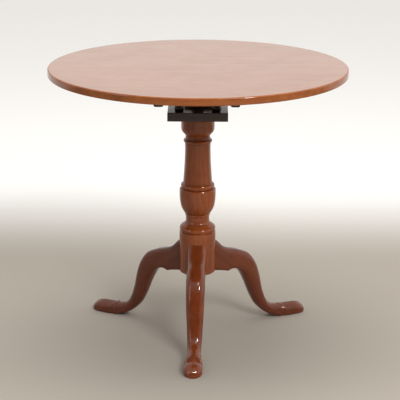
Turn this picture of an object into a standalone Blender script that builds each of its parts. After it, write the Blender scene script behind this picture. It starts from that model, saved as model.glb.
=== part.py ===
"""A round tilt-top tripod table on a birdcage.

Metres, +Z up. The origin is on the floor under the middle of the pillar, and -Y is the front.
The stand is a turned pillar with three cabriole legs. A cage of two plates and four balusters turns on the
pillar's spigot, where a wedge holds it down. The top tilts on two pintles at the back of the
cage's upper plate, and a sprung brass catch holds its front edge down.
"""

import math

import bmesh
import bpy
from mathutils import Matrix, Vector

# Driving dimensions
TABLE_HEIGHT = 0.710
TOP_RADIUS = 0.3785
TOP_THICKNESS = 0.019
GAP = 0.0003  # between pieces that touch
TOE_REACH = 0.3300
# Which way each leg points, from +X towards +Y; they stand a little askew, as fitted by hand
LEG_TURNS = {"front": math.radians(-91.5), "right": math.radians(28.6), "left": math.radians(149.8)}

# Top and bearers
UNDERSIDE = TABLE_HEIGHT - TOP_THICKNESS
ARRIS = 0.0035  # radius of the top's two edges
BEARER_OFFSET = 0.0895
BEARER_WIDTH = 0.022
BEARER_DEPTH = 0.026
BEARER_HALF_LENGTH = 0.330
BEARER_END_DEPTH = 0.012
BEARER_TAPER = 0.070  # length of the tapered stretch at each end

# Cage
PLATE_HALF = 0.076
PLATE_THICKNESS = 0.0224
LOWER_PLATE_BOTTOM = 0.5838
LOWER_PLATE_TOP = LOWER_PLATE_BOTTOM + PLATE_THICKNESS
UPPER_PLATE_TOP = UNDERSIDE - GAP
UPPER_PLATE_BOTTOM = UPPER_PLATE_TOP - PLATE_THICKNESS
BALUSTER_OFFSET = 0.047
TENON_RADIUS = 0.005
TENON_LENGTH = 0.0115
PINTLE_RADIUS = 0.007
PINTLE_END = BEARER_OFFSET + 0.002
PIVOT_Y = PLATE_HALF - PLATE_THICKNESS / 2
PIVOT_Z = UPPER_PLATE_TOP - PLATE_THICKNESS / 2

# Pillar, spigot and what holds the cage down
BASE_RADIUS = 0.0470
BASE_BOTTOM = 0.165
SHOULDER = LOWER_PLATE_BOTTOM - GAP
SPIGOT_RADIUS = 0.015
SPIGOT_TOP = UPPER_PLATE_BOTTOM - 0.004
TIP_RADIUS = 0.010
TIP_TOP = UPPER_PLATE_BOTTOM + 0.007
WEDGE_BOTTOM = LOWER_PLATE_TOP + GAP
WEDGE_WIDTH = 0.009
WEDGE_THIN_HEIGHT = 0.0080
WEDGE_THICK_HEIGHT = 0.0105
WEDGE_THIN_X = -0.034
WEDGE_THICK_X = 0.038

# Dovetail that joins each leg to the pillar
DOVETAIL_BACK = 0.030
DOVETAIL_FRONT = 0.051
DOVETAIL_BACK_HALF = 0.0090
DOVETAIL_FRONT_HALF = 0.0060
DOVETAIL_TOP = 0.236

# Iron strap under the base
STRAP_THICKNESS = 0.0025
STRAP_REACH = 0.066
STRAP_HALF_WIDTH = 0.007
STRAP_HUB_RADIUS = 0.021
STRAP_LEG_SCREW = 0.056
STRAP_PILLAR_SCREW = 0.022

# Catch: a case on the top's underside, a sprung bolt in it, and a keeper on the upper plate
CASE_HALF = 0.016
CASE_BACK = -0.0790
CASE_FRONT = -0.1315
CASE_TOP = UNDERSIDE - GAP
CASE_BOTTOM = CASE_TOP - 0.0102
CASE_WALL = 0.0016
EAR_HALF = 0.027
EAR_THICKNESS = 0.0025
EAR_FRONT = -0.1180
EAR_BACK = -0.0920
BOLT_HALF = 0.006
BOLT_BOTTOM = CASE_BOTTOM + CASE_WALL + 0.0005
BOLT_TOP = BOLT_BOTTOM + 0.0052
BOLT_TAIL = -0.1080
BOLT_NOSE = -0.0685
BOLT_TRAVEL = 0.0085
KNOB_Y = -0.0960
STEM_RADIUS = 0.0025
KNOB_RADIUS = 0.0055
SPRING_RADIUS = 0.0019
SPRING_WIRE = 0.0003
SPRING_TURNS = 6
KEEPER_HALF = 0.022
KEEPER_BACK = -0.0620
KEEPER_FRONT = -PLATE_HALF + GAP
KEEPER_THICKNESS = 0.0019
KEEPER_TOP = UPPER_PLATE_TOP - GAP
POCKET_HALF = 0.0075
POCKET_BACK = -0.0660

# The leg's outline in its own plane, as (out from the axis, height) of the upper and lower line, with the
# width across the leg there and how square its section is above and below (2 is an ellipse)
LEG_STATIONS = [
    ((0.034, 0.2620), (0.034, 0.1655), 0.049, 3.4, 8.0),
    ((0.054, 0.2430), (0.054, 0.1628), 0.049, 3.4, 8.0),
    ((0.070, 0.2275), (0.071, 0.1598), 0.049, 3.4, 8.0),
    ((0.088, 0.2183), (0.081, 0.1572), 0.049, 3.2, 8.0),
    ((0.104, 0.2133), (0.092, 0.1606), 0.049, 3.2, 7.0),
    ((0.122, 0.2078), (0.105, 0.1590), 0.049, 3.0, 5.0),
    ((0.150, 0.1945), (0.115, 0.1535), 0.049, 2.8, 3.6),
    ((0.170, 0.1690), (0.129, 0.1390), 0.048, 2.6, 2.8),
    ((0.183, 0.1330), (0.143, 0.1115), 0.046, 2.4, 2.4),
    ((0.193, 0.0900), (0.158, 0.0755), 0.042, 2.3, 2.3),
    ((0.206, 0.0560), (0.178, 0.0405), 0.038, 2.2, 2.4),
    ((0.222, 0.0400), (0.210, 0.0130), 0.035, 2.2, 3.0),
    ((0.244, 0.0320), (0.246, 0.0000), 0.0375, 2.3, 7.0),
    ((0.265, 0.0304), (0.265, 0.0000), 0.043, 2.4, 8.0),
]
LEG_STEPS = 2  # rings from one station to the next
LEG_SIDES = 16
TOE_START = 0.289
TOE_HEIGHT = 0.0298
TOE_WIDTH = 0.0475
TOE_RINGS = 6

# Screws: head radius, head height, shank radius, length
BEARER_SCREW = (0.0042, 0.0030, 0.0021, 0.038)
STRAP_SCREW = (0.0036, 0.0022, 0.0018, 0.022)
CATCH_SCREW = (0.0030, 0.0016, 0.0014, 0.011)
KEEPER_SCREW = (0.0026, 0.0014, 0.0012, 0.009)
SCREW_SIDES = 8
BEARER_SCREW_STEPS = (-0.235, -0.125, 0.145, 0.235)

PILLAR_SIDES = 24
TOP_SIDES = 56
BALUSTER_SIDES = 12


def clear_scene():
    for obj in list(bpy.data.objects):
        bpy.data.objects.remove(obj, do_unlink=True)


def material(name, colour, roughness, metallic=0.0):
    mat = bpy.data.materials.new(name)
    mat.use_nodes = True
    shader = mat.node_tree.nodes["Principled BSDF"]
    shader.inputs["Base Color"].default_value = (*colour, 1.0)
    shader.inputs["Roughness"].default_value = roughness
    shader.inputs["Metallic"].default_value = metallic
    return mat


def new_object(name, bm, mat=None, turn=0.0):
    """An object from a bmesh, turned about +Z, shaded smooth with sharp edges kept."""
    bmesh.ops.recalc_face_normals(bm, faces=bm.faces)
    mesh = bpy.data.meshes.new(name)
    bm.to_mesh(mesh)
    bm.free()
    mesh.shade_smooth()
    mesh.set_sharp_from_angle(angle=math.radians(35))
    obj = bpy.data.objects.new(name, mesh)
    obj.rotation_euler.z = turn
    bpy.context.collection.objects.link(obj)
    if mat:
        mesh.materials.append(mat)
    return obj


def add_rings(bm, rings):
    """A closed body through rings of points, with a flat cap at each end."""
    loops = [[bm.verts.new(point) for point in ring] for ring in rings]
    for near, far in zip(loops, loops[1:]):
        for i, corner in enumerate(near):
            j = (i + 1) % len(near)
            bm.faces.new((corner, near[j], far[j], far[i]))
    bm.faces.new(loops[0])
    bm.faces.new(loops[-1])


def loft(name, rings, mat=None, turn=0.0):
    bm = bmesh.new()
    add_rings(bm, rings)
    return new_object(name, bm, mat, turn)


def turned_rings(profile, sides, place=Matrix.Identity(4)):
    """Rings of a turned profile of (radius, height) points."""
    angles = [2 * math.pi * i / sides for i in range(sides)]
    return [
        [place @ Vector((r * math.cos(a), r * math.sin(a), z)) for a in angles]
        for r, z in profile
    ]


def turned(name, profile, sides, mat=None, place=Matrix.Identity(4)):
    return loft(name, turned_rings(profile, sides, place), mat)


def box(name, low, high, mat=None):
    corners = [(low[0], low[1]), (high[0], low[1]), (high[0], high[1]), (low[0], high[1])]
    rings = [[Vector((x, y, z)) for x, y in corners] for z in (low[2], high[2])]
    return loft(name, rings, mat)


def bevel(obj, width):
    modifier = obj.modifiers.new("Bevel", "BEVEL")
    modifier.width = width
    modifier.segments = 1
    modifier.limit_method = "ANGLE"


def combine(obj, tool, operation="DIFFERENCE"):
    """Cut obj with a tool, or join the tool to it; the tool itself is only a guide."""
    modifier = obj.modifiers.new(tool.name, "BOOLEAN")
    modifier.operation = operation
    modifier.object = tool
    tool.hide_render = True
    tool.display_type = "WIRE"


def along_curve(points, steps):
    """Points on a smooth curve through the given ones, which may have any number of coordinates."""
    rows = [points[0], *points, points[-1]]
    curve = []
    for before, start, end, after in zip(rows, rows[1:], rows[2:], rows[3:]):
        for k in range(steps):
            t = k / steps
            curve.append(tuple(
                0.5 * (2 * b + (c - a) * t + (2 * a - 5 * b + 4 * c - d) * t**2 + (3 * b - a - 3 * c + d) * t**3)
                for a, b, c, d in zip(before, start, end, after)
            ))
    return [*curve, tuple(points[-1])]


def bead(radius, reach, low, high, steps=3):
    """A half-round moulding: it swells from radius to radius + reach between two heights, top first."""
    middle, half = (low + high) / 2, (high - low) / 2
    angles = [math.pi * k / steps for k in range(steps + 1)]
    return [(radius + reach * math.sin(a), middle + half * math.cos(a)) for a in angles]


def pillar_profile():
    """Radius and height from the tip of the spigot down to the foot of the base."""
    spigot = [
        (TIP_RADIUS - 0.001, TIP_TOP),
        (TIP_RADIUS, TIP_TOP - 0.001),
        (TIP_RADIUS, SPIGOT_TOP),
        (SPIGOT_RADIUS, SPIGOT_TOP),
        (SPIGOT_RADIUS, SHOULDER),
    ]
    cup = along_curve([
        (0.0429, 0.570), (0.0429, 0.551), (0.0407, 0.543), (0.0366, 0.5378), (0.0322, 0.5326),
    ], 2)
    collar = bead(0.0328, 0.0039, 0.5130, 0.5222)
    shaft = [(0.0330, 0.508), (0.0329, 0.495), (0.0339, 0.464), (0.0359, 0.432), (0.0379, 0.406)]
    ring = bead(0.0409, 0.0026, 0.3935, 0.4045)
    urn = along_curve([
        (0.0465, 0.3910), (0.0470, 0.3800), (0.0466, 0.3690), (0.0455, 0.3580),
        (0.0427, 0.3435), (0.0375, 0.3325), (0.0320, 0.3235),
    ], 2)
    waist = along_curve([
        (0.0304, 0.3180), (0.0306, 0.3060), (0.0335, 0.2995), (0.0403, 0.2948), (0.0443, 0.2915),
    ], 2)
    torus = bead(0.0453, 0.0013, 0.2785, 0.2885, 3)
    base = [
        (0.0450, 0.2770),
        (0.0466, 0.2755),
        (BASE_RADIUS, 0.2700),
        (BASE_RADIUS, BASE_BOTTOM + 0.006),
        (BASE_RADIUS - 0.006, BASE_BOTTOM),
    ]
    return [
        *spigot, (0.0414, SHOULDER), (0.0429, SHOULDER - 0.002),
        *cup, (0.0314, 0.5300), (0.0314, 0.5240), *collar,
        *shaft, *ring, (0.0450, 0.3925), *urn, *waist, *torus, *base,
    ]


def dovetail(name, ease, bottom, turn):
    """The leg's tongue, or with some ease the socket that it slides up into."""
    slope = (DOVETAIL_BACK_HALF - DOVETAIL_FRONT_HALF) / (DOVETAIL_FRONT - DOVETAIL_BACK)
    back = DOVETAIL_BACK - ease
    back_half = DOVETAIL_BACK_HALF + ease * (1 + slope)
    front_half = DOVETAIL_FRONT_HALF + ease
    front = DOVETAIL_FRONT
    outline = [(back, -back_half), (front, -front_half), (front, front_half), (back, back_half)]
    rings = [[Vector((x, y, z)) for x, y in outline] for z in (bottom, DOVETAIL_TOP + ease)]
    return loft(name, rings, turn=turn)


def make_pillar(mat, strap_holes):
    pillar = turned("pillar", pillar_profile(), PILLAR_SIDES, mat)
    for side, turn in LEG_TURNS.items():
        combine(pillar, dovetail(f"socket_{side}", GAP, BASE_BOTTOM - 0.01, turn))
    half = WEDGE_WIDTH / 2 + GAP
    slot_low = (-0.03, -half, WEDGE_BOTTOM - 2 * GAP)
    slot_high = (0.03, half, WEDGE_BOTTOM + WEDGE_THICK_HEIGHT + GAP)
    combine(pillar, box("wedge_slot", slot_low, slot_high))
    combine(pillar, strap_holes)
    return pillar


def leg_rings():
    """Sections of the leg in its own plane, +X outwards, from inside the pillar to the pointed toe."""
    stations = [(*upper, *lower, width, over, under) for upper, lower, width, over, under in LEG_STATIONS]
    stations = along_curve(stations, LEG_STEPS)
    over, under = stations[-1][-2:]
    for k in range(TOE_RINGS):
        angle = math.radians(84) * k / (TOE_RINGS - 1)
        along = math.sin(angle)
        out = TOE_START + (TOE_REACH - TOE_START) * along
        height, width = TOE_HEIGHT * math.cos(angle)**0.9, TOE_WIDTH * (1 - along**3.2)**0.6
        stations.append((out, height, out, 0.0, width, over, under))
    return [section(*station) for station in stations]


def section(upper_x, upper_z, lower_x, lower_z, width, over, under):
    """One section between the two lines, each half of it with its own squareness; the sole is flat."""
    lower_z = max(lower_z, 0.0)
    middle = Vector(((upper_x + lower_x) / 2, 0, (upper_z + lower_z) / 2))
    rise = Vector(((upper_x - lower_x) / 2, 0, (upper_z - lower_z) / 2))
    ring = []
    for k in range(LEG_SIDES):
        angle = 2 * math.pi * (k + 0.5) / LEG_SIDES
        c, s = math.cos(angle), math.sin(angle)
        power = 2 / (over if c > 0 else under)
        point = middle + rise * math.copysign(abs(c) ** power, c)
        point.y = width / 2 * math.copysign(abs(s) ** power, s)
        if lower_z == 0.0 and c < -0.6:
            point.z = 0.0
        ring.append(point)
    return ring


def make_leg(side, mat, turn, strap_housing, strap_holes):
    leg = loft(f"leg_{side}", leg_rings(), mat, turn)
    cope = turned(f"cope_{side}", [(BASE_RADIUS + 2 * GAP, 0.14), (BASE_RADIUS + 2 * GAP, 0.29)], 48)
    combine(leg, cope)
    combine(leg, dovetail(f"tongue_{side}", 0.0, BASE_BOTTOM, turn), "UNION")
    combine(leg, strap_housing)
    combine(leg, strap_holes)
    return leg


def strap_body(name, ease, bottom, top, mat=None):
    """Three arms with round ends, on a hub: the strap, or with some ease the housing that it lies in."""
    half, hub = STRAP_HALF_WIDTH + ease, STRAP_HUB_RADIUS + ease
    outline = []
    for turn in sorted(LEG_TURNS.values()):
        outward = Matrix.Rotation(turn, 3, "Z")
        outline.append(outward @ Vector((hub * math.cos(math.radians(35)), -half, 0)))
        for k in range(5):
            angle = math.pi * (k / 4 - 0.5)
            tip = (STRAP_REACH - STRAP_HALF_WIDTH + half * math.cos(angle), half * math.sin(angle), 0)
            outline.append(outward @ Vector(tip))
        outline.append(outward @ Vector((hub * math.cos(math.radians(35)), half, 0)))
        for spread in (45, 75):
            outline.append(Matrix.Rotation(turn + math.radians(spread), 3, "Z") @ Vector((hub, 0, 0)))
    return loft(name, [[Vector((p.x, p.y, z)) for p in outline] for z in (bottom, top)], mat)


def make_strap(mat, strap_holes):
    """The three-armed iron that keeps the legs from spreading."""
    top = BASE_BOTTOM - GAP
    strap = strap_body("spider_strap", 0.0, top - STRAP_THICKNESS, top, mat)
    combine(strap, strap_holes)
    return strap


def screw_profile(size, ease=0.0, lead=0.0):
    """A countersunk screw, its head's face at z = 0 and its shank upwards; ease and lead make its hole."""
    head, head_height, shank, length = size
    return [
        (head + ease, -lead),
        (head + ease, 0.0003),
        (shank + ease, head_height),
        (shank + ease, length - 0.003 + ease),
        (0.0004 + ease, length + ease),
    ]


def make_screws(name, size, places, mat):
    """Screws at the given places, and one guide that cuts the holes for all of them."""
    holes = bmesh.new()
    screws = []
    for k, place in enumerate(places):
        turn = Matrix.Rotation(math.radians(37 * k + 20), 4, "Z")
        label = f"{name}_{k + 1}"
        screw = turned(label, screw_profile(size), SCREW_SIDES, mat, place @ turn)
        slot = bmesh.new()
        reach, depth, half = size[0] * 1.2, size[1] * 0.4, 0.0004
        corners = [(-reach, -half), (reach, -half), (reach, half), (-reach, half)]
        rings = [[place @ turn @ Vector((x, y, z)) for x, y in corners] for z in (-0.001, depth)]
        add_rings(slot, rings)
        combine(screw, new_object(f"slot_{label}", slot))
        add_rings(holes, turned_rings(screw_profile(size, GAP, 0.012), SCREW_SIDES, place @ turn))
        screws.append(screw)
    return screws, new_object(f"holes_{name}", holes)


def make_wedge(mat):
    half = WEDGE_WIDTH / 2
    rings = []
    for x, height in ((WEDGE_THIN_X, WEDGE_THIN_HEIGHT), (WEDGE_THICK_X, WEDGE_THICK_HEIGHT)):
        low, high = WEDGE_BOTTOM, WEDGE_BOTTOM + height
        rings.append([Vector((x, y, z)) for y, z in ((-half, low), (half, low), (half, high), (-half, high))])
    wedge = loft("wedge", rings, mat)
    bevel(wedge, 0.0008)
    return wedge


def make_baluster(index, x, y, mat):
    """A small turned baluster with a tenon at each end."""
    length = UPPER_PLATE_BOTTOM - LOWER_PLATE_TOP - 2 * GAP
    body = along_curve(
        [(0.0105, 0.0), (0.0117, 0.003), (0.0124, 0.0075), (0.0107, 0.0130), (0.0076, 0.0175), (0.0071, 0.0260),
         (0.0086, 0.0380), (0.0104, 0.0465), (0.0074, 0.0520), (0.0104, 0.0570), (0.0104, length)], 1
    )
    tenon = TENON_RADIUS
    profile = [(tenon, -TENON_LENGTH), (tenon, 0.0), *body, (tenon, length), (tenon, length + TENON_LENGTH)]
    place = Matrix.Translation((x, y, LOWER_PLATE_TOP + GAP))
    return turned(f"cage_baluster_{index}", profile, BALUSTER_SIDES, mat, place)


def tenon_holes():
    """One guide that cuts the balusters' sockets in both plates."""
    bm = bmesh.new()
    reach = TENON_LENGTH + 2 * GAP
    radius = TENON_RADIUS + GAP
    profile = [(radius, LOWER_PLATE_TOP - reach), (radius, UPPER_PLATE_BOTTOM + reach)]
    for x, y in baluster_places():
        add_rings(bm, turned_rings(profile, BALUSTER_SIDES, Matrix.Translation((x, y, 0))))
    return new_object("holes_tenons", bm)


def baluster_places():
    return [(x, y) for y in (-BALUSTER_OFFSET, BALUSTER_OFFSET) for x in (-BALUSTER_OFFSET, BALUSTER_OFFSET)]


def make_lower_plate(mat, sockets):
    low = (-PLATE_HALF, -PLATE_HALF, LOWER_PLATE_BOTTOM)
    high = (PLATE_HALF, PLATE_HALF, LOWER_PLATE_TOP)
    plate = box("cage_lower_plate", low, high, mat)
    bevel(plate, 0.0012)
    hole = SPIGOT_RADIUS + 0.0004
    combine(plate, turned("hole_spigot", [(hole, 0.57), (hole, 0.62)], 36))
    combine(plate, sockets)
    return plate


def make_upper_plate(mat, sockets, keeper_holes):
    """The plate's back edge is round about the pintles' axis, so the top can swing past it."""
    radius = PLATE_THICKNESS / 2
    outline = [(-PLATE_HALF, UPPER_PLATE_BOTTOM)]
    for k in range(11):
        angle = math.pi * (k / 10 - 0.5)
        outline.append((PIVOT_Y + radius * math.cos(angle), PIVOT_Z + radius * math.sin(angle)))
    outline.append((-PLATE_HALF, UPPER_PLATE_TOP))
    rings = [[Vector((x, y, z)) for y, z in outline] for x in (-PLATE_HALF, PLATE_HALF)]
    plate = loft("cage_upper_plate", rings, mat)
    across = Matrix.Translation((0, PIVOT_Y, PIVOT_Z)) @ Matrix.Rotation(math.pi / 2, 4, "Y")
    pintle = [(PINTLE_RADIUS - 0.001, -PINTLE_END), (PINTLE_RADIUS, 0.001 - PINTLE_END)]
    pintle += [(radius, -height) for radius, height in reversed(pintle)]
    combine(plate, turned("pintles", pintle, 20, place=across), "UNION")
    socket = [(TIP_RADIUS + 0.0004, UPPER_PLATE_BOTTOM - 0.01), (TIP_RADIUS + 0.0004, TIP_TOP + 0.001)]
    combine(plate, turned("socket_tip", socket, 24))
    combine(plate, sockets)
    recess_low = (-KEEPER_HALF - GAP, -PLATE_HALF - 0.01, KEEPER_TOP - KEEPER_THICKNESS - GAP)
    recess_high = (KEEPER_HALF + GAP, KEEPER_BACK + GAP, UPPER_PLATE_TOP + 0.01)
    combine(plate, box("recess_keeper", recess_low, recess_high))
    pocket_low = (-POCKET_HALF, -PLATE_HALF - 0.01, BOLT_BOTTOM - 0.0014)
    pocket_high = (POCKET_HALF, POCKET_BACK, UPPER_PLATE_TOP - 0.001)
    combine(plate, box("pocket_bolt", pocket_low, pocket_high))
    combine(plate, keeper_holes)
    return plate


def make_keeper(mat, keeper_holes):
    low = (-KEEPER_HALF, KEEPER_FRONT, KEEPER_TOP - KEEPER_THICKNESS)
    high = (KEEPER_HALF, KEEPER_BACK, KEEPER_TOP)
    keeper = box("keeper", low, high, mat)
    combine(keeper, keeper_holes)
    return keeper


def make_tabletop(mat, holes):
    """One round board whose edge is eased above and below."""
    steps = 2
    rim = []
    for low, first in ((False, 0.5), (True, 0.0)):
        height = UNDERSIDE + ARRIS if low else TABLE_HEIGHT - ARRIS
        for k in range(steps + 1):
            angle = math.pi * (first - 0.5 * k / steps)
            rim.append((TOP_RADIUS - ARRIS + ARRIS * math.cos(angle), height + ARRIS * math.sin(angle)))
    top = turned("tabletop", rim, TOP_SIDES, mat)
    for tool in holes:
        combine(top, tool)
    return top


def bearer_depth(y):
    """Full depth in the middle, and a smooth taper to each end."""
    t = min(1.0, (BEARER_HALF_LENGTH - abs(y)) / BEARER_TAPER)
    return BEARER_END_DEPTH + (BEARER_DEPTH - BEARER_END_DEPTH) * t * t * (3 - 2 * t)


def make_bearer(side, x, mat, screw_holes):
    """A batten with rounded lower edges, and a round hole for a pintle."""
    top, half, edge = UNDERSIDE - GAP, BEARER_WIDTH / 2, 0.005
    stations = [BEARER_HALF_LENGTH - BEARER_TAPER * k / 6 for k in range(7)]
    rings = []
    for y in [-s for s in stations] + stations[::-1]:
        bottom = top - bearer_depth(y)
        ring = [Vector((x - half, y, top))]
        for centre, first in ((x - half + edge, math.pi), (x + half - edge, 1.5 * math.pi)):
            for k in range(4):
                angle = first + math.pi / 2 * k / 3
                corner = Vector((centre, y, bottom + edge))
                ring.append(corner + edge * Vector((math.cos(angle), 0, math.sin(angle))))
        ring.append(Vector((x + half, y, top)))
        rings.append(ring)
    bearer = loft(f"bearer_{side}", rings, mat)
    across = Matrix.Translation((0, PIVOT_Y, PIVOT_Z)) @ Matrix.Rotation(math.pi / 2, 4, "Y")
    inner, end = abs(x) - half - 0.005, PINTLE_END + 0.001
    if x < 0:
        inner, end = -end, -inner
    hole = [(PINTLE_RADIUS + GAP, inner), (PINTLE_RADIUS + GAP, end)]
    combine(bearer, turned(f"hole_pintle_{side}", hole, 20, place=across))
    combine(bearer, screw_holes)
    return bearer


def make_catch_case(mat, screw_holes):
    """A brass box, open above, with an ear on each side."""
    low, high = (-CASE_HALF, CASE_FRONT, CASE_BOTTOM), (CASE_HALF, CASE_BACK, CASE_TOP)
    case = box("catch_case", low, high, mat)
    ears_low, ears_high = (-EAR_HALF, EAR_FRONT, CASE_TOP - EAR_THICKNESS), (EAR_HALF, EAR_BACK, CASE_TOP)
    combine(case, box("catch_ears", ears_low, ears_high), "UNION")
    inside = CASE_HALF - CASE_WALL
    cavity_low = (-inside, CASE_FRONT + CASE_WALL, CASE_BOTTOM + CASE_WALL)
    cavity_high = (inside, CASE_BACK - CASE_WALL, CASE_TOP + 0.01)
    combine(case, box("catch_cavity", cavity_low, cavity_high))
    mouth_low = (-BOLT_HALF - GAP, CASE_BACK - 2 * CASE_WALL, BOLT_BOTTOM - GAP)
    mouth_high = (BOLT_HALF + GAP, CASE_BACK + 0.01, BOLT_TOP + GAP)
    combine(case, box("catch_mouth", mouth_low, mouth_high))
    half = STEM_RADIUS + GAP
    slot_low = (-half, KNOB_Y - BOLT_TRAVEL - half, CASE_BOTTOM - 0.01)
    slot_high = (half, KNOB_Y + half, CASE_BOTTOM + 2 * CASE_WALL)
    combine(case, box("catch_slot", slot_low, slot_high))
    combine(case, screw_holes)
    return case


def make_catch_bolt(mat):
    """A flat bolt with a bevel under its nose, and a round knob that hangs below the case."""
    outline = [
        (BOLT_TAIL, BOLT_BOTTOM),
        (BOLT_NOSE - 0.004, BOLT_BOTTOM),
        (BOLT_NOSE, BOLT_BOTTOM + 0.0032),
        (BOLT_NOSE, BOLT_TOP),
        (BOLT_TAIL, BOLT_TOP),
    ]
    bolt = loft("catch_bolt", [[Vector((x, y, z)) for y, z in outline] for x in (-BOLT_HALF, BOLT_HALF)], mat)
    neck = CASE_BOTTOM - 0.002
    knob = [(STEM_RADIUS, BOLT_BOTTOM + 0.001), (STEM_RADIUS, neck)]
    for k in range(1, 7):
        angle = math.pi * k / 7
        knob.append((KNOB_RADIUS * math.sin(angle), neck - KNOB_RADIUS * (1 - math.cos(angle))))
    combine(bolt, turned("knob", knob, 16, place=Matrix.Translation((0, KNOB_Y, 0))), "UNION")
    return bolt


def make_catch_spring(mat):
    """A coil spring between the bolt's tail and the case's front wall."""
    start, end = BOLT_TAIL - 0.0004, CASE_FRONT + CASE_WALL + 0.0004
    middle = (BOLT_BOTTOM + BOLT_TOP) / 2
    per_turn, sides = 8, 4
    rings = []
    for k in range(SPRING_TURNS * per_turn + 1):
        angle = 2 * math.pi * k / per_turn
        y = start + (end - start) * k / (SPRING_TURNS * per_turn)
        radial = Vector((math.cos(angle), 0, math.sin(angle)))
        centre = Vector((0, y, middle)) + radial * SPRING_RADIUS
        rings.append([
            centre + SPRING_WIRE * (radial * math.cos(b) + Vector((0, 1, 0)) * math.sin(b))
            for b in (2 * math.pi * i / sides for i in range(sides))
        ])
    return loft("catch_spring", rings, mat)


def pivot(name, place, parent=None):
    """An empty on a joint's axis, which carries the pieces that move about it."""
    empty = bpy.data.objects.new(name, None)
    bpy.context.collection.objects.link(empty)
    empty.location = place
    carry(parent, [empty])
    return empty


def carry(parent, children):
    """Parent the children where they stand."""
    if parent is None:
        return
    bpy.context.view_layer.update()
    for child in children:
        child.parent = parent
        child.matrix_parent_inverse = parent.matrix_world.inverted()


def from_below(x, y, z):
    """A screw driven upwards."""
    return Matrix.Translation((x, y, z))


def from_above(x, y, z):
    """A screw driven downwards."""
    return Matrix.Translation((x, y, z)) @ Matrix.Rotation(math.pi, 4, "X")


def build():
    clear_scene()
    top_wood = material("top_mahogany", (0.42, 0.20, 0.10), 0.3)
    stand_wood = material("stand_mahogany", (0.27, 0.09, 0.045), 0.25)
    cage_wood = material("dark_mahogany", (0.075, 0.035, 0.028), 0.3)
    pale_wood = material("pale_wood", (0.45, 0.33, 0.22), 0.6)
    iron = material("black_iron", (0.05, 0.05, 0.05), 0.6, 0.9)
    brass = material("old_brass", (0.55, 0.40, 0.16), 0.35, 1.0)
    steel = material("screw_steel", (0.30, 0.29, 0.28), 0.45, 1.0)

    strap_bottom = BASE_BOTTOM - GAP - STRAP_THICKNESS
    strap_places = [
        from_below(reach * math.cos(turn), reach * math.sin(turn), strap_bottom)
        for turn in LEG_TURNS.values() for reach in (STRAP_PILLAR_SCREW, STRAP_LEG_SCREW)
    ]
    strap_screws, strap_holes = make_screws("strap_screw", STRAP_SCREW, strap_places, steel)
    make_pillar(stand_wood, strap_holes)
    strap_housing = strap_body("strap_housing", 2 * GAP, BASE_BOTTOM - 0.02, BASE_BOTTOM)
    for side, turn in LEG_TURNS.items():
        make_leg(side, stand_wood, turn, strap_housing, strap_holes)
    make_strap(iron, strap_holes)
    wedge_axis = pivot("wedge_axis", (0, 0, WEDGE_BOTTOM))
    carry(wedge_axis, [make_wedge(pale_wood)])

    cage_axis = pivot("cage_axis", (0, 0, 0))
    keeper_places = [from_above(x, -0.0685, KEEPER_TOP) for x in (-0.0165, 0.0165)]
    keeper_screws, keeper_holes = make_screws("keeper_screw", KEEPER_SCREW, keeper_places, brass)
    sockets = tenon_holes()
    balusters = [make_baluster(k + 1, x, y, cage_wood) for k, (x, y) in enumerate(baluster_places())]
    plates = [make_lower_plate(cage_wood, sockets), make_upper_plate(cage_wood, sockets, keeper_holes)]
    carry(cage_axis, [*plates, *balusters, make_keeper(brass, keeper_holes), *keeper_screws])

    tilt_axis = pivot("tilt_axis", (0, PIVOT_Y, PIVOT_Z), cage_axis)
    ear_face = CASE_TOP - EAR_THICKNESS
    catch_places = [from_below(x, y, ear_face) for y in (-0.1125, -0.0975) for x in (-0.0215, 0.0215)]
    catch_screws, catch_holes = make_screws("catch_screw", CATCH_SCREW, catch_places, brass)
    carry(tilt_axis, [make_catch_case(brass, catch_holes), make_catch_spring(steel), *catch_screws])
    holes = [catch_holes]
    for side, x in (("left", -BEARER_OFFSET), ("right", BEARER_OFFSET)):
        places = [from_below(x, y, UNDERSIDE - GAP - BEARER_DEPTH) for y in BEARER_SCREW_STEPS]
        screws, bearer_holes = make_screws(f"bearer_screw_{side}", BEARER_SCREW, places, steel)
        carry(tilt_axis, [make_bearer(side, x, cage_wood, bearer_holes), *screws])
        holes.append(bearer_holes)
    carry(tilt_axis, [make_tabletop(top_wood, holes)])

    bolt_axis = pivot("bolt_axis", (0, KNOB_Y, BOLT_BOTTOM), tilt_axis)
    carry(bolt_axis, [make_catch_bolt(brass)])


build()
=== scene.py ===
"""The looks of a round tilt-top tripod table on a birdcage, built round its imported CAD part.

Metres, +Z up. The origin is on the floor under the middle of the pillar, and -Y is the front.
The sizes are the part's own, apart from the pillar's mouldings and the instep, which follow the photograph a
little more closely. Each CAD node is replaced by a finer piece that rides on its body.
"""

import math

import bmesh
import bpy
from mathutils import Matrix, Vector


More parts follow.
